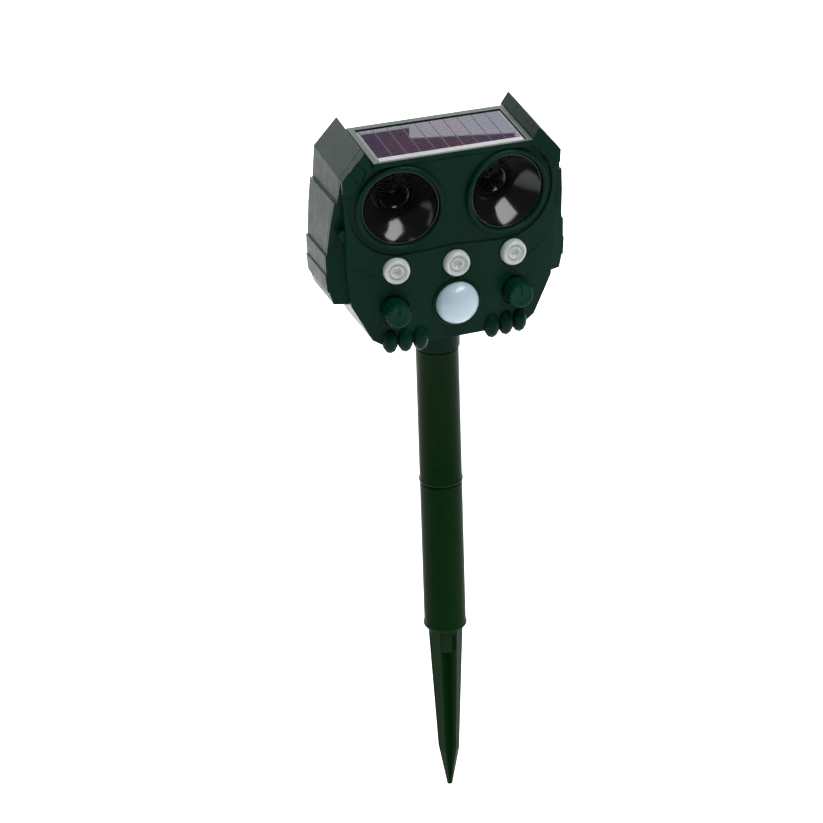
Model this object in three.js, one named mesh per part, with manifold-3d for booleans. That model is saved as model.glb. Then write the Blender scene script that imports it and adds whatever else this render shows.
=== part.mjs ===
import * as THREE from 'three';
import { mergeVertices } from 'three/addons/utils/BufferGeometryUtils.js';
import Module from 'manifold-3d';

const wasm = await Module();
wasm.setup();

// ---- Driving dimensions, millimetres. +Z up, the face looks along -Y, z = 0 is the soil line.
const FIT = 0.3;
const WALL = 2.2;
const TUBE_R = 12;
const SPIKE_LEN = 108.5;
const LOWER_LEN = 93;
const UPPER_LEN = 83.5;
const SOCKET_LEN = 19.5;
const PLUG_LEN = 20;
const SPIKE_TURN = -53;
const SPIKE_POINT_LEN = 25.5;
const RIB_TOP_W = 6.2;
const RIB_KNEE_W = 3.5;
const KNEE_R = 6.2;
const TIP_R = 1.4;
const TIP_W = 1.5;
const WEB_LEN = 14.4;
const WEB_W = 7.5;
const WEB_INSET = 0.8;
const LIP = 0.5;
const HEAD_HALF_W = 68.2;
const HEAD_H = 113;
const BACK_Y = 15;
const FACE_Y = -33.5;
const FACE_R = 240;
const FACE_LEAN = 0.047;
const TOP_SLOPE = 0.092;
const SEAM_Y = -17.6;
const SEAM_SLOPE = 0.27;
const EYE_R = 21.5;
const LED_R = 7.3;
const PIR_R = 11.9;
const KNOB_R = 7.2;
const CELL_R = 7.1;
const CELL_LEN = 50;
const CELL_GAP = 1.4;
const LID_T = 2.4;

// ---- Levels and places worked out from them.
const SPIGOT_R = TUBE_R - 2;
const BORE_R = TUBE_R - 3;
const Z_SOCKET = LOWER_LEN + UPPER_LEN;
const Z_HEAD = Z_SOCKET + SOCKET_LEN;
const SX = HEAD_HALF_W / 68.2;
const SZ = HEAD_H / 113;
const EYE_X = 30 * SX;
const EYE_Z = Z_HEAD + 79.5 * SZ;
const LED_X = 33 * SX;
const LED_Z = Z_HEAD + 44 * SZ;
const PIR_Z = Z_HEAD + 20.7 * SZ;
const KNOB_X = 34.7 * SX;
const KNOB_Z = Z_HEAD + 20.8 * SZ;
const DECK_HALF_W = 44.5 * SX;
const DECK_BACK_Y = BACK_Y - 3.5;
const BOARD_Y = -22;
const BULGE_Y = BACK_Y + 4;
const CELL_Y = BULGE_Y - LID_T + FIT - CELL_GAP - CELL_R;
const CELL_Z = Z_HEAD + 45 * SZ;
const CELL_PITCH = 2 * CELL_R + 0.6;
const BAY_HALF_W = CELL_LEN / 2 + 3;
const BAY_HALF_H = CELL_PITCH * 1.5 + 1;

// Right half of the housing outline and of the face block, as x and height above the head floor.
const WING = [[40.5, 0], [46.3, 3.6], [51.7, 14.2], [57, 24.6], [64.7, 24.6], [66.6, 31.5], [67.4, 31.5],
  [68.2, 41.3], [67.6, 41.3], [67.8, 52.5], [66.9, 52.5], [65.6, 71], [64, 84.8], [62.6, 84.8],
  [61.3, 98], [48.8, 113], [44.8, 106.3], [44.8, 104]];
const FACE = [[40.5, 0], [46.3, 3.6], [51.7, 14.2], [57, 24.6], [58.6, 40], [58.9, 55], [58.9, 70],
  [60, 84], [61.3, 98], [48.8, 113], [44.8, 106.3], [44.8, 104]];
const SHELL = [[40.5, 0], [46.3, 3.6], [51.7, 14.2], [56.6, 24.6], [63.4, 24.6], [65.6, 31.5], [66.8, 41.3],
  [66.8, 52.5], [64.9, 71], [62.2, 84.8], [60.8, 97.4], [48.8, 111.6], [44.8, 105], [44.8, 104]];

// ---- Materials.
const material = (name, color, roughness, metalness = 0) => {
  const made = new THREE.MeshStandardMaterial({ color, roughness, metalness });
  made.name = name;
  return made;
};
const greenShell = material('green_shell', 0x1d3f32, 0.45);
const greenTube = material('green_tube', 0x12331a, 0.35);
const greenKnob = material('green_knob', 0x0a3a2c, 0.4);
const blackGloss = material('black_gloss', 0x121413, 0.15);
const blackRubber = material('black_rubber', 0x1b1c1c, 0.8);
const clearWhite = material('clear_white', 0xdfe6e6, 0.2);
const milkWhite = material('milk_white', 0xd5e2ea, 0.4);
const cellGlass = material('cell_glass', 0x27304a, 0.1);
const boardGreen = material('board_green', 0x1f6b3a, 0.6);
const steel = material('steel', 0xb8bcc0, 0.35, 0.9);
const darkGrey = material('dark_grey', 0x3a3d40, 0.6);
const cellWrap = material('cell_wrap', 0x3c8f57, 0.4);

// ---- Geometry helpers.
function signedVolume(position, a, b, c) {
  const p = new THREE.Vector3(position[3 * a], position[3 * a + 1], position[3 * a + 2]);
  const q = new THREE.Vector3(position[3 * b], position[3 * b + 1], position[3 * b + 2]);
  const r = new THREE.Vector3(position[3 * c], position[3 * c + 1], position[3 * c + 2]);
  return p.dot(q.cross(r));
}

function solid(geometry) {
  const plain = new THREE.BufferGeometry();
  plain.setAttribute('position', geometry.getAttribute('position').clone());
  if (geometry.index) plain.setIndex(geometry.index.clone());
  const welded = mergeVertices(plain, 1e-4);
  const position = welded.getAttribute('position').array;
  const source = welded.index.array;
  const kept = [];
  let volume = 0;
  for (let i = 0; i < source.length; i += 3) {
    const [a, b, c] = [source[i], source[i + 1], source[i + 2]];
    if (a === b || b === c || c === a) continue;
    kept.push(a, b, c);
    volume += signedVolume(position, a, b, c);
  }
  if (volume < 0) kept.reverse();
  const mesh = new wasm.Mesh({
    numProp: 3,
    vertProperties: new Float32Array(position),
    triVerts: new Uint32Array(kept),
  });
  return new wasm.Manifold(mesh);
}

function joined(first, ...others) {
  return others.reduce((sum, next) => sum.add(next), first);
}

function cutBy(first, ...others) {
  return others.reduce((rest, next) => rest.subtract(next), first);
}

function node(name, shape, look) {
  const data = shape.getMesh();
  const geometry = new THREE.BufferGeometry();
  geometry.setAttribute('position', new THREE.BufferAttribute(new Float32Array(data.vertProperties), 3));
  geometry.setIndex(new THREE.BufferAttribute(new Uint32Array(data.triVerts), 1));
  const flat = geometry.toNonIndexed();
  flat.computeVertexNormals();
  const mesh = new THREE.Mesh(flat, look.clone());
  mesh.name = name;
  return mesh;
}

function bent(geometry, rule) {
  const position = geometry.getAttribute('position');
  for (let i = 0; i < position.count; i += 1) {
    const [x, y, z] = rule(position.getX(i), position.getY(i), position.getZ(i));
    position.setXYZ(i, x, y, z);
  }
  return geometry;
}

function shapeOf(points) {
  return new THREE.Shape(points.map(([x, y]) => new THREE.Vector2(x, y)));
}

function prismY(points, y0, y1) {
  const made = new THREE.ExtrudeGeometry(shapeOf(points), { depth: y1 - y0, bevelEnabled: false });
  made.rotateX(Math.PI / 2);
  made.translate(0, y1, 0);
  return made;
}

function prismZ(points, z0, z1) {
  const made = new THREE.ExtrudeGeometry(shapeOf(points), { depth: z1 - z0, bevelEnabled: false });
  made.translate(0, 0, z0);
  return made;
}

function box(x0, x1, y0, y1, z0, z1) {
  const made = new THREE.BoxGeometry(x1 - x0, y1 - y0, z1 - z0);
  made.translate((x0 + x1) / 2, (y0 + y1) / 2, (z0 + z1) / 2);
  return made;
}

function turned(profile, segments = 32) {
  const points = profile.map(([r, z]) => new THREE.Vector2(r, z));
  const open = profile[0][0] > 0 || profile[profile.length - 1][0] > 0;
  if (open) points.push(points[0].clone());
  const made = new THREE.LatheGeometry(points, segments);
  made.rotateX(Math.PI / 2);
  return made;
}

function rodZ(r, z0, z1, segments = 24) {
  return turned([[0, z0], [r, z0], [r, z1], [0, z1]], segments);
}

function rodY(r, y0, y1, x, z, segments = 24) {
  const made = rodZ(r, -y1, -y0, segments);
  made.rotateX(Math.PI / 2);
  made.translate(x, 0, z);
  return made;
}

function circle(cx, cz, r, from, to, steps) {
  const points = [];
  for (let i = 0; i <= steps; i += 1) {
    const a = THREE.MathUtils.degToRad(from + ((to - from) * i) / steps);
    points.push([cx + r * Math.cos(a), cz + r * Math.sin(a)]);
  }
  return points;
}

// ---- Head surfaces.
function faceY(x, z) {
  return FACE_Y - FACE_LEAN * (z - Z_HEAD) + (x * x) / (2 * FACE_R);
}

function seamY(z) {
  const above = THREE.MathUtils.clamp(z - Z_HEAD - 54 * SZ, 0, 44 * SZ);
  return SEAM_Y - SEAM_SLOPE * above;
}

function fullOutline(half) {
  const right = half.map(([x, h]) => [x * SX, Z_HEAD + h * SZ]);
  const left = right.map(([x, z]) => [-x, z]).reverse();
  return [...right, ...left];
}

function insetOutline(points, d) {
  const n = points.length;
  return points.map((here, i) => {
    const before = points[(i + n - 1) % n];
    const after = points[(i + 1) % n];
    const a = new THREE.Vector2(here[0] - before[0], here[1] - before[1]).normalize();
    const b = new THREE.Vector2(after[0] - here[0], after[1] - here[1]).normalize();
    const na = new THREE.Vector2(-a.y, a.x);
    const nb = new THREE.Vector2(-b.y, b.x);
    const mid = na.clone().add(nb);
    const k = (2 * d) / Math.max(mid.lengthSq(), 0.8);
    return [here[0] + mid.x * k, here[1] + mid.y * k];
  });
}

function topRule(x, y, z) {
  const above = Z_HEAD + 92 * SZ;
  if (z <= above) return [x, y, z];
  const back = y > 5 ? (z - above) * 0.17 : 0;
  return [x, y - back, z + TOP_SLOPE * (y + 37)];
}

function faceEnvelope(back) {
  const arc = [];
  for (let i = 0; i <= 21; i += 1) {
    const x = -84 + i * 8;
    arc.push([x * SX, FACE_Y + back + (x * SX * x * SX) / (2 * FACE_R)]);
  }
  arc.push([84 * SX, 60], [-84 * SX, 60]);
  return solid(bent(prismZ(arc, Z_HEAD - 30, Z_HEAD + HEAD_H + 30), (x, y, z) =>
    [x, y - FACE_LEAN * (z - Z_HEAD), z]));
}

function slantSlab(from, to) {
  const levels = [-30, 54 * SZ, 98 * SZ, HEAD_H + 30].map((h) => Z_HEAD + h);
  const near = levels.map((z) => [seamY(z) + from, z]);
  const far = levels.map((z) => [seamY(z) + to, z]).reverse();
  const width = 90 * SX;
  return solid(bent(prismZ([...near, ...far], -width, width), (y, z, x) => [x, y, z]));
}

function faceFrame(x, z) {
  const out = new THREE.Vector3(x / FACE_R, -1, -FACE_LEAN).normalize();
  const right = new THREE.Vector3(1, 0, 0).addScaledVector(out, -out.x).normalize();
  const up = new THREE.Vector3().crossVectors(out, right);
  return new THREE.Matrix4().makeBasis(right, up, out).setPosition(x, faceY(x, z), z);
}

function onFace(geometry, x, z) {
  return solid(geometry.applyMatrix4(faceFrame(x, z)));
}

// ---- Stake.
function spikeRib(top, bottom, z0, z1, turn) {
  const rib = bent(box(-1, 1, -1, 1, z0, z1), (x, y, z) => {
    const [reach, thick] = z > (z0 + z1) / 2 ? top : bottom;
    return [x * reach, (y * thick) / 2, z];
  });
  return solid(rib.rotateZ(THREE.MathUtils.degToRad(SPIKE_TURN + turn)));
}

// A block fills one side of a channel at its top, and its twin fills the opposite channel.
function spikeWeb(side) {
  const reach = SPIGOT_R - WEB_INSET;
  const foot = -WEB_LEN;
  const round = solid(turned([[0, foot], [reach, foot], [reach, 0], [0, 0]], 40));
  const xs = side > 0 ? [0, WEB_W] : [-WEB_W, 0];
  const ys = side > 0 ? [-SPIGOT_R, 0] : [0, SPIGOT_R];
  const corner = solid(box(...xs, ...ys, foot - 1, 1));
  return round.intersect(corner).rotate([0, 0, SPIKE_TURN]);
}

function spike() {
  const kneeZ = SPIKE_POINT_LEN - SPIKE_LEN;
  const top = [SPIGOT_R, RIB_TOP_W];
  const knee = [KNEE_R, RIB_KNEE_W];
  const tip = [TIP_R, TIP_W];
  const ribs = [0, 90].flatMap((turn) => [spikeRib(top, knee, kneeZ, 0, turn),
    spikeRib(knee, tip, -SPIKE_LEN, kneeZ + 0.01, turn)]);
  const plug = turned([[0, -3], [SPIGOT_R, -3], [SPIGOT_R, 0], [BORE_R - FIT, 0],
    [BORE_R - FIT, PLUG_LEN - 2], [BORE_R - 2, PLUG_LEN], [0, PLUG_LEN]], 40);
  return joined(solid(plug), spikeWeb(1), spikeWeb(-1), ...ribs);
}

function lowerTube() {
  const top = LOWER_LEN;
  const step = PLUG_LEN + 2;
  return solid(turned([[BORE_R, FIT], [TUBE_R - 1, FIT], [TUBE_R + LIP, FIT + 1.3],
    [TUBE_R + LIP, FIT + 2.4], [TUBE_R, FIT + 3], [TUBE_R, top - 0.5],
    [TUBE_R - 0.5, top], [SPIGOT_R + FIT, top], [SPIGOT_R + FIT, top - PLUG_LEN - 2],
    [SPIGOT_R, top - PLUG_LEN - 3], [SPIGOT_R, step + 1],
    [BORE_R, step]], 40));
}

function upperTube() {
  const foot = LOWER_LEN - PLUG_LEN;
  const bottom = LOWER_LEN + FIT;
  const top = Z_SOCKET - FIT;
  const inside = SPIGOT_R - 2;
  // The spigot ends below the head's floor, so it never reaches into the housing.
  const tip = Z_HEAD - 1;
  return solid(turned([[inside, foot], [SPIGOT_R - 1, foot], [SPIGOT_R, foot + 1.5], [SPIGOT_R, bottom],
    [TUBE_R - 1, bottom], [TUBE_R + LIP, bottom + 1], [TUBE_R + LIP, bottom + 2.1],
    [TUBE_R, bottom + 2.7], [TUBE_R, top], [SPIGOT_R, top],
    [SPIGOT_R, tip - 1], [SPIGOT_R - 1, tip], [inside, tip]], 40));
}

function stakeSocket() {
  const boss = TUBE_R + 0.8;
  const neck = TUBE_R - 0.2;
  const neckTop = Z_HEAD + WALL + 1;
  const bore = SPIGOT_R + FIT;
  const cap = neckTop + 2.4;
  return solid(turned([[bore, Z_SOCKET], [boss - 0.8, Z_SOCKET], [boss, Z_SOCKET + 0.8],
    [boss, Z_HEAD - FIT], [neck, Z_HEAD - FIT], [neck, cap], [0, cap], [0, cap - 1.8],
    [bore, cap - 1.8]], 40));
}

function socketRetainer() {
  const low = Z_HEAD + WALL + FIT;
  const inner = TUBE_R - 0.2 + FIT;
  return solid(turned([[inner, low], [TUBE_R + 3.5, low], [TUBE_R + 3.5, low + 2], [inner, low + 2]], 32));
}

// ---- Head shells.
const SCREW_SPOTS = [[59 * SX, Z_HEAD + 66 * SZ], [43.5 * SX, Z_HEAD + 9.5 * SZ],
  [-59 * SX, Z_HEAD + 66 * SZ], [-43.5 * SX, Z_HEAD + 9.5 * SZ]];
const BOARD_SPOTS = [[18 * SX, Z_HEAD + 32 * SZ], [-18 * SX, Z_HEAD + 32 * SZ]];

function maskOutline() {
  const r = EYE_R + 6;
  const rightArc = circle(EYE_X, EYE_Z, r, 60, -88, 14).reverse();
  const leftArc = rightArc.map(([x, z]) => [-x, z]).reverse();
  const low = EYE_Z - r + 2.4;
  const side = EYE_X + r / 2;
  return [...leftArc, [0, low], ...rightArc, [side, Z_HEAD + 130], [-side, Z_HEAD + 130]];
}

function toe(x) {
  const made = new THREE.SphereGeometry(1, 12, 9);
  made.scale(4.5, 4.6, 7.4);
  made.translate(x, faceY(x, Z_HEAD + 3) + 0.6, Z_HEAD + 2.4);
  return solid(made);
}

function eyeCollar(side) {
  const ring = turned([[EYE_R - 0.1, -4.4], [EYE_R + 2.6, -4.4], [EYE_R + 2.6, 0.2], [EYE_R + 2, 0.9],
    [EYE_R + 0.6, 0.9], [EYE_R - 0.1, 0.3]], 40);
  return onFace(ring, side * EYE_X, EYE_Z);
}

function ear(side, k) {
  const edge = [[48.8, 113], [61.3, 98], [60.8, 91]];
  const inner = [[53.5, 90.5], [51, 95.6], [47.6, 99.8], [44.8, 103], [44.8, 106.3]];
  const near = [[48.8, 113], [52.4, 108.7], [57, 103.2]][k];
  const feather = k === 0 ? [edge[0], ...edge.slice(1), ...inner]
    : [near, [near[0] + 9, near[1] + 4], [72, 98], [72, 86], [53.5, 86], [52.4, 93.4],
      [near[0] - 4.6, near[1] - 5.6]];
  const outline = feather.map(([x, h]) => [side * x * SX, Z_HEAD + h * SZ]);
  return [outline, FACE_Y - 1.9 + 0.8 * k];
}

function ears() {
  const made = [];
  for (const side of [-1, 1]) {
    const [whole, front] = ear(side, 0);
    let block = solid(bent(prismY(whole, front, -24), topRule));
    for (const k of [1, 2]) {
      const [outline, y] = ear(side, k);
      block = block.subtract(solid(bent(prismY(outline, -60, y), topRule)));
    }
    made.push(block);
  }
  return made;
}

function wingFront() {
  const half = [[90, -10], [68.2, -19.4], [57, -23.8]].map(([x, y]) => [x * SX, y]);
  const left = half.map(([x, y]) => [-x, y]);
  const edge = [...left, ...half.reverse(), [90 * SX, 60], [-90 * SX, 60]];
  return solid(prismZ(edge, Z_HEAD - 30, Z_HEAD + 85 * SZ));
}

function coverBody() {
  const ahead = slantSlab(-60, 0);
  const block = solid(bent(prismY(fullOutline(FACE), -60, 30), topRule));
  const face = block.intersect(faceEnvelope(0)).intersect(ahead);
  const whole = solid(bent(prismY(fullOutline(WING), -60, 30), topRule));
  const wings = whole.intersect(slantSlab(-1.8, 0)).add(whole.intersect(wingFront()).intersect(ahead));
  const inner = insetOutline(fullOutline(FACE), WALL);
  const hollow = solid(bent(prismY(inner, -60, 30), topRule)).intersect(faceEnvelope(WALL + 1.1));
  const maskCut = solid(prismY(maskOutline(), -60, 0)).subtract(faceEnvelope(1.1));
  return cutBy(joined(face, wings, ...ears().map((made) => made.intersect(ahead))), hollow, maskCut);
}

function frontCover() {
  let shape = coverBody();
  const toes = [20.4, 28.8, 37].flatMap((x) => [toe(x * SX), toe(-x * SX)]);
  const bosses = SCREW_SPOTS.map(([x, z]) => solid(rodY(3.3, faceY(x, z) + 1.2, seamY(z) - 0.3, x, z, 16)));
  const posts = BOARD_SPOTS.map(([x, z]) => solid(rodY(2.8, faceY(x, z) + 1.2, BOARD_Y - FIT, x, z, 16)));
  const bezel = turned([[PIR_R, -2], [PIR_R + 2, -2], [PIR_R + 2, 0.3], [PIR_R + 1.2, 0.9],
    [PIR_R, 0.9]], 40);
  shape = joined(shape, eyeCollar(1), eyeCollar(-1), onFace(bezel, 0, PIR_Z), ...bosses, ...posts, ...toes);
  const cuts = [];
  for (const side of [-1, 1]) {
    cuts.push(onFace(rodZ(EYE_R, -8, 6, 40), side * EYE_X, EYE_Z));
    cuts.push(onFace(rodZ(LED_R + FIT, -8, 6, 32), side * LED_X, LED_Z));
    cuts.push(solid(rodY(KNOB_R + 1.4, -60, faceY(KNOB_X, KNOB_Z) + 1.3, side * KNOB_X, KNOB_Z, 32)));
    cuts.push(solid(rodY(3.5, -60, -20, side * KNOB_X, KNOB_Z, 20)));
  }
  cuts.push(onFace(rodZ(LED_R + FIT, -8, 6, 32), 0, LED_Z));
  cuts.push(onFace(rodZ(PIR_R + FIT, -8, 6, 40), 0, PIR_Z));
  for (const [x, z] of SCREW_SPOTS) cuts.push(solid(rodY(1.6, faceY(x, z) + 2.4, 0, x, z, 12)));
  for (const [x, z] of BOARD_SPOTS) cuts.push(solid(rodY(1.3, faceY(x, z) + 3, 0, x, z, 12)));
  return cutBy(shape, ...cuts);
}

function rearHousing() {
  const behind = slantSlab(FIT, 90);
  const outer = solid(bent(prismY(fullOutline(WING), -60, BACK_Y), topRule)).intersect(behind);
  const inner = insetOutline(fullOutline(SHELL), WALL);
  const hollow = solid(bent(prismY(inner, -60, BACK_Y - WALL), topRule));
  const bay = [BAY_HALF_W + 1.8, BAY_HALF_H + 1.8];
  const bulge = solid(box(-bay[0] - 6, bay[0] + 6, BACK_Y - 1, BULGE_Y,
    CELL_Z - bay[1] - 6, CELL_Z + bay[1] + 6));
  const tray = solid(box(-bay[0], bay[0], CELL_Y - CELL_R - 2.4, BULGE_Y, CELL_Z - bay[1], CELL_Z + bay[1]));
  const room = solid(box(-BAY_HALF_W, BAY_HALF_W, CELL_Y - CELL_R - 0.6, 60, CELL_Z - BAY_HALF_H,
    CELL_Z + BAY_HALF_H));
  const lidSeat = solid(box(-bay[0] - 2, bay[0] + 2, BULGE_Y - LID_T, 60,
    CELL_Z - bay[1] - 2, CELL_Z + bay[1] + 2));
  const tubes = SCREW_SPOTS.map(([x, z]) => solid(rodY(3.3, seamY(z) + 1.5, BACK_Y - 1, x, z, 16)));
  const holes = SCREW_SPOTS.map(([x, z]) => solid(rodY(1.9, -40, 60, x, z, 12)));
  const sinks = SCREW_SPOTS.map(([x, z]) => solid(rodY(2.9 + FIT, BACK_Y - 4, 60, x, z, 16)));
  const lidHoles = [-1, 1].map((s) => solid(rodY(1.3, BULGE_Y - 9, 60, s * (bay[0] - 0.2), CELL_Z, 12)));
  const lidPosts = [-1, 1].map((s) => solid(rodY(3, BULGE_Y - 10, BULGE_Y - LID_T,
    s * (bay[0] - 0.2), CELL_Z, 16)));
  const humpTop = CELL_Z - bay[1] - 4;
  const hump = solid(rodZ(TUBE_R + 6.2, Z_HEAD, humpTop, 40));
  const humpRoom = solid(rodZ(TUBE_R + 4, Z_HEAD + WALL, humpTop - WALL, 40));
  const shell = joined(outer.subtract(hollow), hump.subtract(solid(box(-40, 40, -60, BACK_Y - 4, 0, 400))));
  const built = joined(shell.subtract(humpRoom), bulge, tray, ...tubes);
  const opened = joined(cutBy(built, room, lidSeat), ...lidPosts).subtract(room);
  const floorHole = solid(rodZ(TUBE_R - 0.2 + FIT, Z_HEAD - 5, Z_HEAD + 8, 48));
  const button = solid(rodY(5 + FIT, 0, 60, -BUTTON_X, BUTTON_Z, 24));
  const port = solid(box(BUTTON_X - 5.3, BUTTON_X + 5.3, 0, 60, BUTTON_Z - 3.3, BUTTON_Z + 3.3));
  return cutBy(opened, ...holes, ...sinks, ...lidHoles, floorHole, button, port,
    seamRing(0.45, 1.75, 0, 2.1));
}

function seamRing(outer, inner, from, to) {
  const outside = insetOutline(fullOutline(SHELL), outer);
  const inside = insetOutline(fullOutline(SHELL), inner);
  const ring = solid(bent(prismY(outside, -60, 30), topRule)).intersect(slantSlab(from, to));
  return ring.subtract(solid(bent(prismY(inside, -60, 30), topRule)));
}

function housingGasket() {
  return seamRing(0.75, 1.45, FIT + 0.1, 1.8);
}

// ---- Solar roof.
const PANEL_FRONT = -34.8;
const PANEL_BACK = DECK_BACK_Y - 7;
const DECK_Z = Z_HEAD + 104 * SZ + FIT;

function deckBox(halfWidth, front, back, low, high) {
  return solid(bent(box(-halfWidth, halfWidth, front, back, DECK_Z + low, DECK_Z + high), (x, y, z) =>
    [x, y, z + TOP_SLOPE * (y + 37)]));
}

function panelFrame() {
  const front = faceY(DECK_HALF_W * 0.6, DECK_Z);
  const body = deckBox(DECK_HALF_W, front, DECK_BACK_Y - 2.6, 0, 2.9);
  const pocket = deckBox(DECK_HALF_W - 3.2, PANEL_FRONT - FIT, PANEL_BACK + FIT, 1.2, 9);
  const well = deckBox(12, PANEL_FRONT + 12, PANEL_BACK - 12, -2, 9);
  return cutBy(body, pocket, well);
}

function solarPanel() {
  return deckBox(DECK_HALF_W - 3.5, PANEL_FRONT, PANEL_BACK, 1.5, 2.6);
}

// ---- Eyes.
function horn(side) {
  const profile = [[EYE_R - 0.3, -1], [EYE_R - 1.1, -1], [EYE_R - 2.2, -2.6], [EYE_R - 4, -4.8],
    [EYE_R - 6.5, -7.4], [EYE_R - 9.3, -10], [EYE_R - 11.7, -12.3], [EYE_R - 13.1, -14.2],
    [EYE_R - 13.6, -16.8], [EYE_R - 11.6, -16.8], [EYE_R - 10.2, -14], [EYE_R - 7.7, -11.4],
    [EYE_R - 4.9, -8.8], [EYE_R - 3, -7.1], [EYE_R + 1.2, -7.1], [EYE_R + 1.2, -5.4], [EYE_R - 0.3, -5.4]];
  return onFace(turned(profile, 40), side * EYE_X, EYE_Z);
}

function driver(side) {
  const profile = [[0, -28], [12, -28], [14.5, -26.5], [14.5, -17.1], [6, -17.1], [5.4, -18.4], [2.4, -18.4],
    [1.5, -16.6], [0.7, -15.9], [0, -15.8]];
  return onFace(turned(profile, 32), side * EYE_X, EYE_Z);
}

// ---- Lights, sensor and controls.
function ledLens(x) {
  const profile = [[LED_R + 1.6, -5], [LED_R + 1.6, -4], [LED_R, -4], [LED_R, 2.6], [LED_R - 0.6, 3.6],
    [LED_R - 1.6, 3.9], [4.4, 3.9], [3.9, 3.2], [0, 3.2], [0, 1.2], [4.2, 1.2], [LED_R - 2, -0.6],
    [LED_R - 2, -5]];
  return onFace(turned(profile, 28), x, LED_Z);
}

function ledLamp(x) {
  const tip = faceY(x, LED_Z) + 1;
  const profile = [[0, tip], [1.2, tip + 0.2], [2.2, tip + 1.2], [2.5, tip + 2.4], [2.5, BOARD_Y - FIT - 1],
    [2.9, BOARD_Y - FIT - 1], [2.9, BOARD_Y - FIT], [0, BOARD_Y - FIT]];
  const made = turned(profile.map(([r, y]) => [r, -y]), 16);
  made.rotateX(Math.PI / 2);
  made.translate(x, 0, LED_Z);
  return solid(made);
}

function pirLens() {
  const profile = [[PIR_R + 1.8, -5.2], [PIR_R + 1.8, -4.1], [PIR_R, -4.1], [PIR_R, 1.2]];
  for (const a of [15, 30, 45, 60, 75]) {
    const t = THREE.MathUtils.degToRad(a);
    profile.push([PIR_R * Math.cos(t), 1.2 + 8.3 * Math.sin(t)]);
  }
  profile.push([0, 9.5], [0, 8.6]);
  for (const a of [75, 60, 45, 30, 15]) {
    const t = THREE.MathUtils.degToRad(a);
    profile.push([(PIR_R - 0.9) * Math.cos(t), 1.2 + 7.4 * Math.sin(t)]);
  }
  profile.push([PIR_R - 0.9, 1.2], [PIR_R - 0.9, -5.2]);
  return onFace(turned(profile, 36), 0, PIR_Z);
}

function pirSensor() {
  const front = -faceY(0, PIR_Z) + 1;
  const back = -BOARD_Y + FIT;
  const made = turned([[0, back], [4.6, back], [4.6, back + 0.8], [4, back + 0.8], [4, front],
    [0, front]], 24);
  made.rotateX(Math.PI / 2);
  made.translate(0, 0, PIR_Z);
  return solid(made);
}

function mainBoard() {
  const plate = solid(box(-42 * SX, 42 * SX, BOARD_Y, BOARD_Y + 1.6, Z_HEAD + 14 * SZ, Z_HEAD + 54 * SZ));
  const holes = BOARD_SPOTS.map(([x, z]) => solid(rodY(1.6, BOARD_Y - 2, BOARD_Y + 4, x, z, 12)));
  const chip = solid(box(-6, 6, BOARD_Y + 1, BOARD_Y + 3.6, Z_HEAD + 40 * SZ, Z_HEAD + 50 * SZ));
  const coil = solid(rodY(5, BOARD_Y + 1, BOARD_Y + 6, 26 * SX, Z_HEAD + 42 * SZ, 20));
  return cutBy(joined(plate, chip, coil), ...holes);
}

function pot(side) {
  const back = -BOARD_Y + FIT;
  const front = -(faceY(KNOB_X + 7.6, KNOB_Z) + WALL + 1.1 + FIT);
  const made = turned([[0, back], [7.6, back], [7.6, front], [3, front], [3, front + 10],
    [0, front + 10]], 24);
  made.rotateX(Math.PI / 2);
  made.translate(side * KNOB_X, 0, KNOB_Z);
  return solid(made);
}

function knob(side) {
  const back = faceY(KNOB_X, KNOB_Z) + 1.3 - FIT;
  const front = back - 11;
  const grip = [];
  for (let i = 0; i < 72; i += 1) {
    const a = (i / 72) * Math.PI * 2;
    const r = KNOB_R - (i % 4 < 2 ? 0 : 0.6);
    grip.push([r * Math.cos(a), r * Math.sin(a)]);
  }
  const body = solid(prismY(grip, front, back).translate(side * KNOB_X, 0, KNOB_Z));
  const limit = turned([[0, -back], [KNOB_R, -back], [KNOB_R, -front - 1.2], [KNOB_R - 1.2, -front],
    [0, -front]], 36);
  limit.rotateX(Math.PI / 2);
  limit.translate(side * KNOB_X, 0, KNOB_Z);
  const bore = solid(rodY(3 + FIT, back - 8, back + 5, side * KNOB_X, KNOB_Z, 20));
  const slot = box(-0.5, 0.5, front - 1, front + 0.5, 0, KNOB_R - 1.6);
  const mark = solid(slot.translate(side * KNOB_X, 0, KNOB_Z));
  return cutBy(body.intersect(solid(limit)), bore, mark);
}

// ---- Battery bay.
function cell(index) {
  const z = CELL_Z + (index - 1) * CELL_PITCH;
  const half = CELL_LEN / 2;
  const made = turned([[0, -half], [CELL_R - 0.4, -half], [CELL_R, -half + 0.4], [CELL_R, half - 1.8],
    [CELL_R - 0.6, half - 1.2], [2.7, half - 1.2], [2.7, half], [0, half]], 24);
  made.rotateY(index % 2 ? Math.PI / 2 : -Math.PI / 2);
  made.translate(0, CELL_Y, z);
  return solid(made);
}

function batteryCover() {
  const halfW = BAY_HALF_W + 3.8 - FIT;
  const halfH = BAY_HALF_H + 3.8 - FIT;
  const plate = solid(box(-halfW, halfW, BULGE_Y - LID_T + FIT, BULGE_Y, CELL_Z - halfH, CELL_Z + halfH));
  const holes = [-1, 1].map((s) => solid(rodY(1.7, 0, 60, s * (BAY_HALF_W + 1.6), CELL_Z, 12)));
  return cutBy(plate, ...holes);
}

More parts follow.
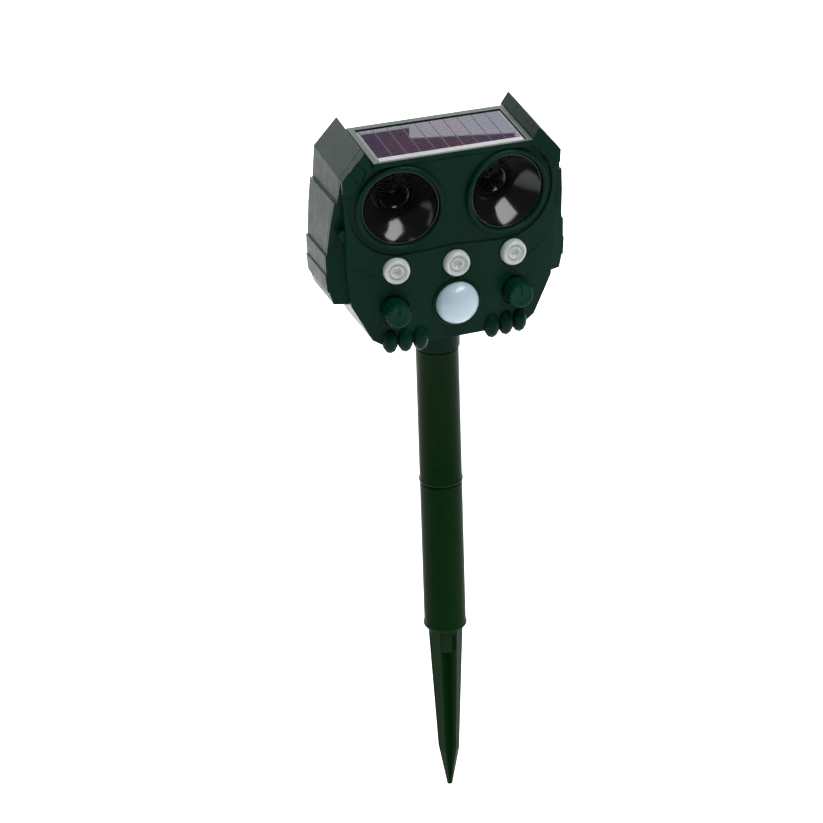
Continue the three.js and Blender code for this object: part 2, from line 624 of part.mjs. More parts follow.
// ---- Fasteners.
function backScrew(x, z, headY, headR, headH, shankR, length) {
  const slot = solid(box(x - 0.4, x + 0.4, headY - 0.8, headY + 1, z - headR * 0.6, z + headR * 0.6));
  const profile = [[0, headY - length], [shankR, headY - length + 1], [shankR, headY - headH],
    [headR, headY - headH], [headR, headY - 0.4], [headR - 0.4, headY], [0, headY]];
  const made = turned(profile.map(([r, y]) => [r, -y]), 16);
  made.rotateX(Math.PI / 2);
  made.translate(x, 0, z);
  return solid(made).subtract(slot);
}

// ---- Rear switch and charging port.
const BUTTON_X = 51 * SX;
const BUTTON_Z = Z_HEAD + 36 * SZ;

function powerButton() {
  const outline = [[0, BACK_Y - 5], [6.4, BACK_Y - 5], [6.4, BACK_Y - 3.6], [5, BACK_Y - 3.6],
    [5, BACK_Y + 1], [4, BACK_Y + 1.8], [0, BACK_Y + 1.8]];
  const made = turned(outline.map(([r, y]) => [r, -y]), 24);
  made.rotateX(Math.PI / 2);
  made.translate(-BUTTON_X, 0, BUTTON_Z);
  return solid(made);
}

function switchBody() {
  const y = BACK_Y - 5 - 1.3;
  return solid(box(-BUTTON_X - 4, -BUTTON_X + 4, y - 6, y, BUTTON_Z - 4, BUTTON_Z + 4));
}

function chargeSocket() {
  const front = BACK_Y - WALL - FIT;
  const outer = solid(box(BUTTON_X - 6.5, BUTTON_X + 6.5, front - 8, front, BUTTON_Z - 4.5, BUTTON_Z + 4.5));
  const mouth = solid(box(BUTTON_X - 4.6, BUTTON_X + 4.6, front - 6, front + 5,
    BUTTON_Z - 1.7, BUTTON_Z + 1.7));
  return outer.subtract(mouth);
}

function chargePlug() {
  const cap = solid(box(BUTTON_X - 7.5, BUTTON_X + 7.5, BACK_Y + FIT, BACK_Y + 2.2,
    BUTTON_Z - 5.5, BUTTON_Z + 5.5));
  const stem = solid(box(BUTTON_X - 5, BUTTON_X + 5, BACK_Y - WALL, BACK_Y + 1, BUTTON_Z - 3, BUTTON_Z + 3));
  return cap.add(stem);
}

// ---- Assembly.
const group = new THREE.Group();
const put = (name, shape, look) => group.add(node(name, shape, look));

put('spike', spike(), greenTube);
put('lower_tube', lowerTube(), greenTube);
put('upper_tube', upperTube(), greenTube);
put('stake_socket', stakeSocket(), greenShell);
put('socket_retainer', socketRetainer(), greenShell);
put('rear_housing', rearHousing(), greenShell);
put('front_cover', frontCover(), greenShell);
put('housing_gasket', housingGasket(), blackRubber);
put('panel_frame', panelFrame(), greenShell);
put('solar_panel', solarPanel(), cellGlass);
put('left_horn', horn(-1), blackGloss);
put('right_horn', horn(1), blackGloss);
put('left_driver', driver(-1), darkGrey);
put('right_driver', driver(1), darkGrey);
put('left_led_lens', ledLens(-LED_X), clearWhite);
put('centre_led_lens', ledLens(0), clearWhite);
put('right_led_lens', ledLens(LED_X), clearWhite);
put('left_led', ledLamp(-LED_X), clearWhite);
put('centre_led', ledLamp(0), clearWhite);
put('right_led', ledLamp(LED_X), clearWhite);
put('pir_lens', pirLens(), milkWhite);
put('pir_sensor', pirSensor(), steel);
put('main_board', mainBoard(), boardGreen);
put('left_pot', pot(-1), darkGrey);
put('right_pot', pot(1), darkGrey);
put('left_knob', knob(-1), greenKnob);
put('right_knob', knob(1), greenKnob);
put('cell_1', cell(0), cellWrap);
put('cell_2', cell(1), cellWrap);
put('cell_3', cell(2), cellWrap);
put('battery_cover', batteryCover(), greenShell);
put('power_button', powerButton(), blackRubber);
put('switch_body', switchBody(), darkGrey);
put('charge_socket', chargeSocket(), steel);
put('charge_plug', chargePlug(), blackRubber);
SCREW_SPOTS.forEach(([x, z], i) => put(`housing_screw_${i + 1}`, backScrew(x, z, BACK_Y - 1, 2.9, 2.4, 1.5,
  BACK_Y - 1 - faceY(x, z) - 3.4), steel));
const boardHeadY = BOARD_Y + 1.6 + FIT + 1.6;
BOARD_SPOTS.forEach(([x, z], i) => {
  put(`board_screw_${i + 1}`, backScrew(x, z, boardHeadY, 2.4, 1.6, 1.2, 8), steel);
});
[-1, 1].forEach((s, i) => {
  const x = s * (BAY_HALF_W + 1.6);
  put(`lid_screw_${i + 1}`, backScrew(x, CELL_Z, BULGE_Y + 1.5, 2.6, 1.2, 1.2, 8), steel);
});

export default group;
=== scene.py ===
import math

import bpy
from mathutils import Matrix, Vector


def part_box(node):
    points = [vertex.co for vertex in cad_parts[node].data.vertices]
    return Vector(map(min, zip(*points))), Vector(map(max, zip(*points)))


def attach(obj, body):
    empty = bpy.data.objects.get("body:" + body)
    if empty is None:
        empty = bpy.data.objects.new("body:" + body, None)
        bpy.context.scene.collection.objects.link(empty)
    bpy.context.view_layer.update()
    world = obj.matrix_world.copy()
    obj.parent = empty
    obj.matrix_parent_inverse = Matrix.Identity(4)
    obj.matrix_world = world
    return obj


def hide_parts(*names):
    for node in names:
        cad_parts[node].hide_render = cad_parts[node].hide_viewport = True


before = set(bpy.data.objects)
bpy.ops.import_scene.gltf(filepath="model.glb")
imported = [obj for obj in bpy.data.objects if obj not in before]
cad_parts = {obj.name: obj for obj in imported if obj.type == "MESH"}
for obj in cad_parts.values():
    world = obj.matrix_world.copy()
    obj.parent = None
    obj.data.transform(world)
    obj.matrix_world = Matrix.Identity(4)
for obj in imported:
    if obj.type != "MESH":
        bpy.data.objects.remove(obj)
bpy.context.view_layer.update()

# ---- Driving dimensions in metres, apart from the radii that half sections use, which are in
# millimetres. The face looks along -Y and z = 0 is the soil line.
MM = 0.001
ROUND = 96
TUBE_R = 12 * MM
SPIGOT_R = 10 * MM
BORE_R = 9 * MM
LIP = 0.5 * MM
FIT = 0.3 * MM
SHAFT_R = 3 * MM
SPIKE_LEN = 108.5 * MM
LOWER_LEN = 93 * MM
Z_SOCKET = 176.5 * MM
Z_HEAD = 196 * MM
FACE_Y = -33.5 * MM
FACE_R = 240 * MM
FACE_LEAN = 0.047
TOP_SLOPE = 0.092
EYE_X, EYE_Z = 30 * MM, 275.5 * MM
LED_X, LED_Z = 33 * MM, 240 * MM
PIR_Z = 216.7 * MM
KNOB_X, KNOB_Z = 34.7 * MM, 216.8 * MM
EYE_R, LED_R, PIR_R, KNOB_R = 21.5, 7.3, 11.9, 7.2
FLUTES = 18
FLUTE_DEPTH = 0.5 * MM
KNOB_WELL = 1.3 * MM
TICK_R = (9.6, 11.2)
FINGER_PITCH = 1.9 * MM
STRIPS = 10
STRIP_GAP = 0.36 * MM
SHEET_TOP, SHEET_FOOT, CELL_TOP = -0.3 * MM, -1.1 * MM, -0.04 * MM
CELL_FOOT = -0.4 * MM
SLOPE_Y = -37 * MM
BORDER_DEEP = 4.6 * MM
SOFT_TURN = math.radians(40)


# ---- Camera, floor and light.
CAMERA_TURN = (-18.36, 25.78, -1.94)
CAMERA_AIM = (-0.01612, 0, 0.13874)
CAMERA_AWAY = 1.7
CAMERA_LENS = 133.8


def front_camera():
    azimuth, elevation, roll = (math.radians(degrees) for degrees in CAMERA_TURN)
    back = Vector((math.sin(azimuth) * math.cos(elevation),
                   -math.cos(azimuth) * math.cos(elevation), math.sin(elevation)))
    level = Vector((math.cos(azimuth), math.sin(azimuth), 0))
    upward = back.cross(level)
    right = math.cos(roll) * level + math.sin(roll) * upward
    up = -math.sin(roll) * level + math.cos(roll) * upward
    turn = Matrix((right, up, back)).transposed()
    lens = bpy.data.cameras.new("camera")
    lens.lens = CAMERA_LENS
    lens.sensor_width = 36
    lens.clip_end = 50
    camera = bpy.data.objects.new("camera", lens)
    camera.matrix_world = Matrix.Translation(Vector(CAMERA_AIM) + back * CAMERA_AWAY) @ turn.to_4x4()
    bpy.context.scene.collection.objects.link(camera)
    bpy.context.scene.camera = camera


def softbox(name, place, size, watts, aim=(0, 0, 0.2)):
    lamp = bpy.data.lights.new(name, "AREA")
    lamp.shape = "RECTANGLE"
    lamp.size, lamp.size_y = size
    lamp.energy = watts
    box = bpy.data.objects.new(name, lamp)
    box.location = place
    box.rotation_euler = (Vector(aim) - Vector(place)).to_track_quat("-Z", "Y").to_euler()
    bpy.context.scene.collection.objects.link(box)


def black_card(name, place, size, lean=0.0):
    """A dark card hung before the back light, there for its reflection in the solar panel."""
    bpy.ops.mesh.primitive_plane_add(size=1, location=place, rotation=(math.pi / 2, lean, 0))
    card = bpy.context.object
    card.name = name
    card.scale = (*size, 1)
    felt = bpy.data.materials.new(name)
    felt.use_nodes = True
    shader = felt.node_tree.nodes["Principled BSDF"]
    shader.inputs["Base Color"].default_value = (0.01, 0.01, 0.012, 1)
    shader.inputs["Roughness"].default_value = 0.9
    card.data.materials.append(felt)


def studio():
    bpy.ops.mesh.primitive_grid_add(x_subdivisions=4, y_subdivisions=4, size=16,
                                    location=(0, 0, -SPIKE_LEN - 1 * MM))
    floor = bpy.context.object
    floor.name = "floor"
    paper = bpy.data.materials.new("white_paper")
    paper.use_nodes = True
    shader = paper.node_tree.nodes["Principled BSDF"]
    shader.inputs["Base Color"].default_value = (0.86, 0.86, 0.86, 1)
    shader.inputs["Roughness"].default_value = 0.9
    shader.inputs["Emission Color"].default_value = (1, 1, 1, 1)
    shader.inputs["Emission Strength"].default_value = 0.5
    floor.data.materials.append(paper)
    world = bpy.data.worlds.new("studio")
    world.use_nodes = True
    sky = world.node_tree.nodes["Background"]
    sky.inputs["Color"].default_value = (0.92, 0.96, 1, 1)
    sky.inputs["Strength"].default_value = 0.1
    bpy.context.scene.world = world
    softbox("back_box", (0.4, 3.3, 1.75), (5.2, 2.6), 360)
    softbox("top_box", (-0.5, 0.8, 2.8), (2.2, 2.2), 20)
    softbox("left_box", (-2.8, 0.5, 0.9), (1.6, 1.6), 12)
    softbox("front_box", (0.48, -0.75, 1.62), (1.5, 0.6), 30, (0, 0, 0.275))
    black_card("side_card", (0.87, 2.85, 2.244), (0.33, 0.312))
    black_card("low_card", (1.085, 2.85, 2.195), (0.27, 0.16), -0.11)
    bpy.context.scene.view_settings.view_transform = "Standard"


# ---- Finishes.
class Tree:
    """A material's nodes, added and joined by hand."""

    def __init__(self, name):
        self.material = bpy.data.materials.new(name)
        self.material.use_nodes = True
        self.nodes = self.material.node_tree.nodes
        self.shader = self.nodes["Principled BSDF"]
        self.place = self.add("ShaderNodeTexCoord").outputs["Object"]

    def add(self, kind, **settings):
        node = self.nodes.new(kind)
        for key, value in settings.items():
            setattr(node, key, value)
        return node

    def join(self, source, target):
        self.material.node_tree.links.new(source, target)

    def noise(self, scale, detail=4, stretch=(1, 1, 1), rough=0.55):
        scaled = self.add("ShaderNodeMapping")
        scaled.inputs["Scale"].default_value = stretch
        self.join(self.place, scaled.inputs["Vector"])
        node = self.add("ShaderNodeTexNoise")
        node.inputs["Scale"].default_value = scale
        node.inputs["Detail"].default_value = detail
        node.inputs["Roughness"].default_value = rough
        self.join(scaled.outputs[0], node.inputs["Vector"])
        return node.outputs["Fac"]

    def ramp(self, source, stops):
        node = self.add("ShaderNodeValToRGB")
        for i, (at, colour) in enumerate(stops):
            stop = node.color_ramp.elements[i] if i < 2 else node.color_ramp.elements.new(at)
            stop.position = at
            stop.color = (*colour, 1)
        self.join(source, node.inputs["Fac"])
        return node.outputs["Color"]

    def spread(self, source, low, high):
        node = self.add("ShaderNodeMapRange")
        node.inputs["From Min"].default_value = 0.3
        node.inputs["From Max"].default_value = 0.7
        node.inputs["To Min"].default_value = low
        node.inputs["To Max"].default_value = high
        self.join(source, node.inputs["Value"])
        return node.outputs["Result"]

    def math(self, how, first, second):
        node = self.add("ShaderNodeMath", operation=how)
        for socket, value in zip(node.inputs, (first, second)):
            if isinstance(value, (int, float)):
                socket.default_value = value
            else:
                self.join(value, socket)
        return node.outputs[0]

    def bump(self, source, height, strength=1, under=None):
        node = self.add("ShaderNodeBump")
        node.inputs["Distance"].default_value = height
        node.inputs["Strength"].default_value = strength
        self.join(source, node.inputs["Height"])
        if under is not None:
            self.join(under, node.inputs["Normal"])
        self.join(node.outputs[0], self.shader.inputs["Normal"])
        return node.outputs[0]


def moulded(name, dark, light, rough=(0.24, 0.36), level=0.045, edge=0.45, grain=0.02):
    """Injection-moulded plastic: faint flow marks, a fine tool grain and softened edges."""
    tree = Tree(name)
    flow = tree.noise(28, 3, (1, 1, 0.35))
    tree.join(tree.ramp(flow, [(0.3, dark), (0.7, light)]), tree.shader.inputs["Base Color"])
    tree.join(tree.spread(tree.noise(140, 5), *rough), tree.shader.inputs["Roughness"])
    tree.shader.inputs["Specular IOR Level"].default_value = level
    soft = tree.add("ShaderNodeBevel", samples=4)
    soft.inputs["Radius"].default_value = edge * MM
    tree.bump(tree.noise(2600, 2), grain * MM, 0.5, soft.outputs[0])
    return tree


def lens_plastic(name, tint, rough=0.16):
    """Milky white light-spreading plastic."""
    tree = moulded(name, tuple(0.93 * c for c in tint), tint, (rough, rough + 0.08), 0.45, 0.3, 0.01)
    tree.shader.inputs["Subsurface Weight"].default_value = 0.3
    tree.shader.inputs["Subsurface Radius"].default_value = (1, 1, 1)
    tree.shader.inputs["Subsurface Scale"].default_value = 2 * MM
    return tree


def metal(name, colour, rough=(0.28, 0.42)):
    tree = moulded(name, tuple(0.8 * c for c in colour), colour, rough, 0.5, 0.15, 0.01)
    tree.shader.inputs["Metallic"].default_value = 1
    return tree


def paint(piece, tree):
    if piece.material_slots:
        for holder in piece.material_slots:
            holder.material = tree.material
    else:
        piece.data.materials.append(tree.material)


def faceted(tree, size, height):
    """Small lens cells pressed into the surface."""
    cells = tree.add("ShaderNodeTexVoronoi", feature="DISTANCE_TO_EDGE")
    cells.inputs["Scale"].default_value = 1 / size
    tree.join(tree.place, cells.inputs["Vector"])
    tree.bump(cells.outputs["Distance"], height, 0.35)
    return tree


SHELL = moulded("green_shell", (0.0004, 0.0125, 0.0068), (0.001, 0.0172, 0.0094))
STAKE = moulded("green_stake", (0.0011, 0.0125, 0.0018), (0.002, 0.0165, 0.003), (0.26, 0.4))
DIAL = moulded("green_dial", (0.0002, 0.018, 0.01), (0.0006, 0.026, 0.0155), (0.2, 0.3), 0.06, 0.25)
HORN = moulded("black_gloss", (0.003, 0.0036, 0.0033), (0.0052, 0.0058, 0.0054), (0.1, 0.16),
               0.34, 0.3, 0.001)
RUBBER = moulded("black_rubber", (0.006, 0.006, 0.006), (0.011, 0.011, 0.011), (0.5, 0.7),
                 0.3, 0.4, 0.05)
MEMBRANE = moulded("grey_membrane", (0.004, 0.0042, 0.0042), (0.008, 0.0085, 0.0086), (0.24, 0.34),
                   0.3, 0.2)
LENS = lens_plastic("lens_white", (0.4, 0.43, 0.42))
DOME = lens_plastic("dome_white", (0.35, 0.45, 0.51), rough=0.12)
faceted(DOME, 3.2 * MM, 0.5 * MM)
STEEL = metal("zinc_steel", (0.3, 0.31, 0.32), (0.36, 0.5))
BOARD = moulded("board_green", (0.01, 0.07, 0.03), (0.02, 0.1, 0.04), (0.3, 0.4), 0.5, 0.1)
WRAP = moulded("cell_wrap", (0.05, 0.12, 0.3), (0.08, 0.17, 0.36), (0.25, 0.35), 0.5, 0.2)


def silver_sheet():
    tree = moulded("silver_border", (0.12, 0.13, 0.14), (0.16, 0.17, 0.18), (0.25, 0.35), 0.12, 0.1)
    tree.shader.inputs["Coat Weight"].default_value = 0.1
    return tree


def solar_cell():
    """Crystalline silicon under resin: blue to plum drift, thin fingers across each strip."""
    tree = Tree("solar_cell")
    drift = tree.noise(16, 3)
    colour = tree.ramp(drift, [(0.4, (0.008, 0.015, 0.046)), (0.7, (0.045, 0.016, 0.022))])
    parts = tree.add("ShaderNodeSeparateXYZ")
    tree.join(tree.place, parts.inputs[0])
    along = tree.math("MULTIPLY", parts.outputs["Y"], 1 / FINGER_PITCH)
    line = tree.math("LESS_THAN", tree.math("FRACT", along, 0), 0.1)
    mix = tree.add("ShaderNodeMix", data_type="RGBA")
    tree.join(tree.math("MULTIPLY", line, 0.35), mix.inputs["Factor"])
    tree.join(colour, mix.inputs["A"])
    mix.inputs["B"].default_value = (0.3, 0.31, 0.34, 1)
    tree.join(mix.outputs["Result"], tree.shader.inputs["Base Color"])
    tree.join(tree.spread(tree.noise(90), 0.2, 0.3), tree.shader.inputs["Roughness"])
    tree.shader.inputs["Coat Weight"].default_value = 0.32
    tree.shader.inputs["Coat Roughness"].default_value = 0.01
    tree.shader.inputs["Coat IOR"].default_value = 1.33
    tree.shader.inputs["Specular IOR Level"].default_value = 0
    tree.bump(tree.noise(120, 2), 0.003 * MM, 0.2)
    return tree


CELL = solar_cell()
BED = moulded("panel_bed", (0.004, 0.005, 0.011), (0.007, 0.008, 0.016), (0.2, 0.3), 0.1, 0.1)
BORDER = silver_sheet()


# ---- Modelling helpers.
def nothing_chosen():
    for chosen in list(bpy.context.selected_objects):
        chosen.select_set(False)


def choose(piece):
    nothing_chosen()
    bpy.context.view_layer.objects.active = piece
    piece.select_set(True)


def open_mesh(piece):
    choose(piece)
    bpy.ops.object.mode_set(mode="EDIT")


def close_mesh(piece, angle=32):
    bpy.ops.mesh.select_all(action="SELECT")
    bpy.ops.mesh.normals_make_consistent(inside=False)
    bpy.ops.object.mode_set(mode="OBJECT")
    bpy.ops.object.shade_smooth_by_angle(angle=math.radians(angle))
    return piece


def seat(piece, place):
    """Moves a finished piece to its place and keeps the place in its mesh."""
    choose(piece)
    piece.matrix_world = place @ piece.matrix_world
    bpy.ops.object.transform_apply(location=True, rotation=True, scale=True)
    return piece


def face_y(x, z):
    return FACE_Y - FACE_LEAN * (z - Z_HEAD) + x * x / (2 * FACE_R)


def on_face(x, z, deep=0.0):
    out = Vector((x / FACE_R, -1, -FACE_LEAN)).normalized()
    right = Vector((0, 0, 1)).cross(out).normalized()
    turn = Matrix((right, out.cross(right), out)).transposed().to_4x4()
    return Matrix.Translation((x, face_y(x, z) - deep, z)) @ turn


def along_y(x, y, z):
    """A turned piece's axis laid along -Y, its foot at y."""
    return Matrix.Translation((x, y, z)) @ Matrix.Rotation(math.pi / 2, 4, "X")


def turned(name, outline, rounds=ROUND, ring=False):
    """Draws a half section point by point and spins it round Z. Points are radius and height in mm."""
    nothing_chosen()
    bpy.ops.mesh.primitive_plane_add(size=MM, location=(0, 0, 0))
    piece = bpy.context.object
    piece.name = name
    open_mesh(piece)
    bpy.ops.mesh.merge(type="CENTER")
    bpy.ops.transform.translate(value=(outline[0][0] * MM, 0, outline[0][1] * MM))
    for (r0, z0), (r1, z1) in zip(outline, outline[1:]):
        step = ((r1 - r0) * MM, 0, (z1 - z0) * MM)
        bpy.ops.mesh.extrude_region_move(TRANSFORM_OT_translate={"value": step})
    if ring:
        closing = ((outline[0][0] - outline[-1][0]) * MM, 0, (outline[0][1] - outline[-1][1]) * MM)
        bpy.ops.mesh.extrude_region_move(TRANSFORM_OT_translate={"value": closing})
        bpy.ops.mesh.select_all(action="SELECT")
        bpy.ops.mesh.remove_doubles(threshold=1e-6)
    bpy.ops.mesh.select_all(action="SELECT")
    bpy.ops.mesh.spin(steps=rounds, angle=2 * math.pi, center=(0, 0, 0), axis=(0, 0, 1))
    bpy.ops.mesh.select_all(action="SELECT")
    bpy.ops.mesh.remove_doubles(threshold=1e-6)
    return close_mesh(piece)


def block(name, low, high, soft=0.3 * MM, segments=3):
    """A box between two corners with every edge bevelled."""
    nothing_chosen()
    middle = [(a + b) / 2 for a, b in zip(low, high)]
    bpy.ops.mesh.primitive_cube_add(size=1, location=(0, 0, 0))
    piece = bpy.context.object
    piece.name = name
    open_mesh(piece)
    bpy.ops.mesh.select_all(action="SELECT")
    sizes = [b - a for a, b in zip(low, high)]
    bpy.ops.transform.resize(value=sizes, center_override=(0, 0, 0))
    bpy.ops.transform.translate(value=middle)
    bpy.ops.mesh.bevel(offset=soft, segments=segments, affect="EDGES")
    return close_mesh(piece, 14)


def gather(name, pieces):
    nothing_chosen()
    for piece in pieces:
        piece.select_set(True)
    bpy.context.view_layer.objects.active = pieces[0]
    bpy.ops.object.join()
    bpy.context.object.name = name
    return bpy.context.object


def cut(piece, tool):
    choose(piece)
    change = piece.modifiers.new("cut", "BOOLEAN")
    change.object = tool
    change.operation = "DIFFERENCE"
    change.solver = "EXACT"
    bpy.ops.object.modifier_apply(modifier="cut")
    bpy.data.objects.remove(tool)
    return piece


def fit(piece, body, slot, tree, *nodes):
    """Gives a finished piece its finish, its body and the nodes it stands for."""
    paint(piece, tree)
    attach(piece, body)
    if nodes:
        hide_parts(*nodes)
    return piece


def fine(outline, parts=4):
    """Adds points along a smooth curve through the given ones."""
    made = []
    ends = [outline[0]] + list(outline) + [outline[-1]]
    for a, b, c, d in zip(ends, ends[1:], ends[2:], ends[3:]):
        for i in range(parts):
            t = i / parts
            made.append(tuple(
                0.5 * (2 * q + (r - p) * t + (2 * p - 5 * q + 4 * r - s) * t ** 2
                       + (3 * q - p - 3 * r + s) * t ** 3) for p, q, r, s in zip(a, b, c, d)))
    return made + [outline[-1]]


front_camera()
studio()


# ---- Eyes: a sounding horn with its membrane behind.
def eye(side, name):
    bowl = fine([(EYE_R - 1.1, -1), (EYE_R - 2.2, -2.6), (EYE_R - 4, -4.8), (EYE_R - 6.5, -7.4),
                 (EYE_R - 9.2, -10.1), (EYE_R - 11.5, -12.6), (EYE_R - 12.9, -14.6), (EYE_R - 13.6, -16.6)])
    back = [(EYE_R - 12.6, -16.8), (EYE_R - 11.6, -16.6), (EYE_R - 10.2, -14), (EYE_R - 7.7, -11.4),
            (EYE_R - 4.9, -8.8), (EYE_R - 3, -7.1), (EYE_R + 1, -7.1), (EYE_R + 1, -5.4),
            (EYE_R - 0.4, -5.4), (EYE_R - 0.4, -1.3), (EYE_R - 0.7, -1)]
    horn = turned(f"{name}_horn_bowl", bowl + back, ring=True)
    seat(horn, on_face(side * EYE_X, EYE_Z))
    fit(horn, "head", "horn_black", HORN, f"{name}_horn")
    disc = [(0, -27.8), (11.6, -27.8), (14.2, -26.4), (14.4, -17.4), (14.1, -17.2), (8, -17.2),
            (7.6, -17.35), (6.4, -18.5), (4.8, -20.1), (3.2, -21.7), (1.9, -23), (1.2, -23.5), (0.9, -23.3),
            (0.75, -22.7), (0.5, -22.3), (0, -22.15)]
    driver = turned(f"{name}_sounder", disc)
    seat(driver, on_face(side * EYE_X, EYE_Z))
    fit(driver, "head", "driver_grey", HORN, f"{name}_driver")


eye(-1, "left")
eye(1, "right")


# ---- Three warning lights: white caps with a dished centre.
def lamp_cap(x, name):
    section = [(0, -0.4), (3.8, -0.4), (LED_R - 1.9, -1.6), (LED_R - 1.9, -4.9), (LED_R + 1.5, -4.9),
               (LED_R + 1.5, -4.1), (LED_R, -4.1), (LED_R, 0.6), (LED_R - 0.2, 2.2), (LED_R - 0.45, 2.9),
               (LED_R - 0.9, 3.4), (LED_R - 1.4, 3.6), (LED_R - 1.9, 3.4), (LED_R - 2.3, 2.7),
               (LED_R - 2.7, 2.1), (4.2, 2), (3.8, 2.4), (3.4, 2.8), (3, 2.9), (2.6, 2.7), (2.2, 2),
               (1.7, 1.3), (0.9, 0.95), (0, 0.9)]
    cap = turned(f"{name}_lamp_cap", section)
    seat(cap, on_face(x, LED_Z))
    fit(cap, "head", "lens_white", LENS, f"{name}_led_lens")


for x, name in ((-LED_X, "left"), (0, "centre"), (LED_X, "right")):
    lamp_cap(x, name)


# ---- Movement sensor: a milky dome.
def sensor_dome():
    steps = [math.radians(degrees) for degrees in range(6, 90, 6)]
    inner = [((PIR_R - 0.9) * math.cos(t), 1.2 + 7.4 * math.sin(t)) for t in reversed(steps)]
    outer = [(PIR_R * math.cos(t), 1.2 + 8.3 * math.sin(t)) for t in steps]
    flange = [(PIR_R - 0.9, 1.2), (PIR_R - 0.9, -5.1), (PIR_R + 1.7, -5.1), (PIR_R + 1.7, -4.2),
              (PIR_R, -4.2), (PIR_R, 1.2)]
    dome = turned("sensor_dome", [(0, 8.6)] + inner + flange + outer + [(0, 9.5)])
    seat(dome, on_face(0, PIR_Z))
    fit(dome, "head", "dome_white", DOME, "pir_lens")


sensor_dome()


# ---- Two dials with fluted grips and a pointer slot.
def dial(side, name):
    foot = face_y(KNOB_X, KNOB_Z) + KNOB_WELL - FIT
    outline = [(0, 0), (KNOB_R - 0.1, 0), (KNOB_R, 0.25), (KNOB_R, 9.6), (KNOB_R - 0.35, 10.4),
               (KNOB_R - 1.1, 10.9), (KNOB_R - 1.8, 11), (KNOB_R - 2.4, 10.8), (0, 10.8)]
    body = turned("dial", outline, 8 * FLUTES)
    for vertex in body.data.vertices:
        radius = math.hypot(vertex.co.x, vertex.co.y)
        if radius > (KNOB_R - 0.6) * MM and 0.4 * MM < vertex.co.z < 10.6 * MM:
            turn = math.atan2(vertex.co.y, vertex.co.x)
            deep = FLUTE_DEPTH * max(0, math.cos(FLUTES * turn)) ** 0.7
            vertex.co.x *= 1 - deep / radius
            vertex.co.y *= 1 - deep / radius
    slot_low = (-0.5 * MM, 0.4 * MM, 10 * MM)
    slot = block("slot", slot_low, (0.5 * MM, (KNOB_R - 1.4) * MM, 12 * MM), 0.1 * MM, 1)
    cut(body, slot)
    wide = SHAFT_R + FIT
    bore = block("bore", (-wide, -wide, -1 * MM), (wide, wide, 8 * MM), 1.2 * MM, 4)
    cut(body, bore)
    body.name = f"{name}_dial_grip"
    seat(body, along_y(side * KNOB_X, foot, KNOB_Z))
    choose(body)
    bpy.ops.object.shade_smooth_by_angle(angle=SOFT_TURN)
    fit(body, f"{name}_dial", "knob_green", DIAL, f"{name}_knob")


dial(-1, "left")
dial(1, "right")


# ---- Raised lines moulded into the face: cheek folds and the scale round each dial.
def ridge(name, points, wide=0.45):
    """A thin half-round bead laid on the face through points given as x and z in mm."""
    line = bpy.data.curves.new(name, "CURVE")
    line.dimensions = "3D"
    line.bevel_depth = wide * MM
    line.bevel_resolution = 3
    line.use_fill_caps = True
    spline = line.splines.new("POLY")
    spline.points.add(len(points) - 1)
    for spot, (x, z) in zip(spline.points, points):
        spot.co = (x * MM, face_y(x * MM, z * MM), z * MM, 1)
    bead = bpy.data.objects.new(name, line)
    bpy.context.scene.collection.objects.link(bead)
    choose(bead)
    bpy.ops.object.convert(target="MESH")
    bpy.ops.object.shade_smooth_by_angle(angle=SOFT_TURN)
    return bpy.context.object


def face_lines():
    beads = []
    for side in (-1, 1):
        fold = [(55.5, 243.4), (52.5, 242), (49.5, 240.2), (46.5, 238.2), (44, 236.4), (42, 234.8)]
        beads.append(ridge("fold", [(side * x, z) for x, z in fold], 0.35))
        for degrees in range(-45, 226, 45):
            turn = math.radians(degrees)
            marks = [(side * KNOB_X / MM + r * math.cos(turn), KNOB_Z / MM + r * math.sin(turn))
                     for r in TICK_R]
            beads.append(ridge("mark", marks, 0.3))
    fit(gather("face_lines", beads), "head", "shell_green", SHELL)


face_lines()


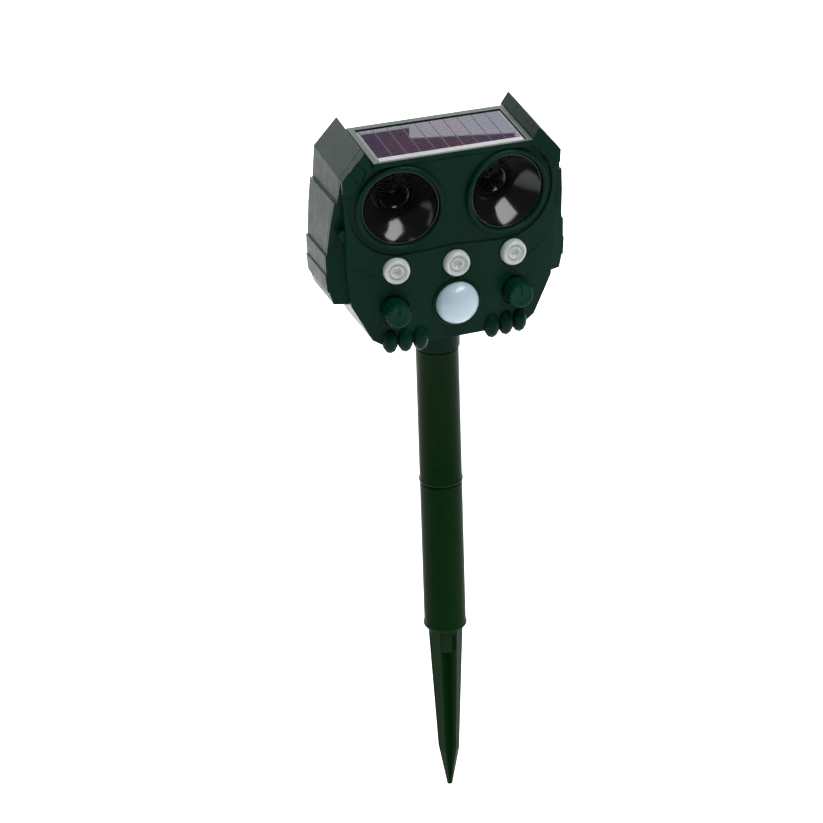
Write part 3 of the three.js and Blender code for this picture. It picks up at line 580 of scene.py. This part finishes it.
# ---- Stake tubes, each with a rolled lip at its foot.
def tubes():
    r, s, b, lip = TUBE_R / MM, SPIGOT_R / MM, BORE_R / MM, LIP / MM
    top = LOWER_LEN / MM
    foot = [(r - 1, 0.3), (r - 0.4, 0.45), (r + lip * 0.7, 0.9), (r + lip, 1.5), (r + lip, 2.1),
            (r + lip * 0.6, 2.6), (r, 3.1)]
    lower = [(b, 0.3)] + foot + [(r, top - 0.6), (r - 0.2, top - 0.15), (r - 0.6, top),
                                 (s + 0.3, top), (s + 0.3, top - 22), (s, top - 23), (s, 23), (b, 22)]
    piece = turned("lower_stake_tube", lower, ring=True)
    fit(piece, "lower_pole", "tube_green", STAKE, "lower_tube")
    up = [(rad, z + top) for rad, z in foot]
    high = Z_SOCKET / MM - 0.3
    upper = [(s - 2, top - 20), (s - 1, top - 20), (s - 0.2, top - 19.2), (s, top - 18.4), (s, top + 0.3)]
    tip = Z_HEAD / MM - 1
    upper += up + [(r, high - 0.4), (r - 0.4, high), (s, high), (s, tip - 1), (s - 1, tip), (s - 2, tip)]
    piece = turned("upper_stake_tube", upper, ring=True)
    fit(piece, "upper_pole", "tube_green", STAKE, "upper_tube")


tubes()


# ---- Solar panel: silver-edged sheet with ten strips of cell.
def solar_panel():
    low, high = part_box("solar_panel")
    front, back = low.y, high.y
    left, right = low.x, high.x
    datum = high.z - TOP_SLOPE * (back - SLOPE_Y)
    bed = block("panel_sheet", (left, front, datum + SHEET_FOOT), (right, back, datum + SHEET_TOP),
                0.15 * MM)
    strip = block("front_strip", (left + 0.6 * MM, front + 0.5 * MM, datum + CELL_FOOT),
                  (right - 0.6 * MM, front + BORDER_DEEP, datum + CELL_TOP), 0.1 * MM, 1)
    edge = 1.2 * MM
    pitch = (right - left - 2 * edge) / STRIPS
    cells = []
    for i in range(STRIPS):
        start = left + edge + i * pitch + STRIP_GAP / 2
        end = start + pitch - STRIP_GAP
        cells.append(block(f"strip_{i}", (start, front + BORDER_DEEP + 0.5 * MM, datum + CELL_FOOT),
                           (end, back - edge, datum + CELL_TOP), 0.1 * MM, 1))
    cells = gather("panel_cells", cells)
    for piece in (bed, cells, strip):
        for vertex in piece.data.vertices:
            vertex.co.z += TOP_SLOPE * (vertex.co.y - SLOPE_Y)
    fit(bed, "head", "cell_glass", BED, "solar_panel")
    fit(strip, "head", "cell_glass", BORDER)
    fit(cells, "head", "cell_glass", CELL)


solar_panel()


# ---- Finishes for the nodes that stay.
KEEP = (
    (STAKE, ("spike",)),
    (SHELL, ("stake_socket", "socket_retainer", "rear_housing", "front_cover", "panel_frame",
             "battery_cover")),
    (RUBBER, ("housing_gasket", "power_button", "charge_plug")),
    (LENS, ("left_led", "centre_led", "right_led")),
    (MEMBRANE, ("left_pot", "right_pot", "switch_body")),
    (WRAP, ("cell_1", "cell_2", "cell_3")),
    (BOARD, ("main_board",)),
    (STEEL, ("pir_sensor", "charge_socket", *(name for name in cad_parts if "screw" in name))),
)
for finish, names in KEEP:
    for name in names:
        paint(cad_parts[name], finish)
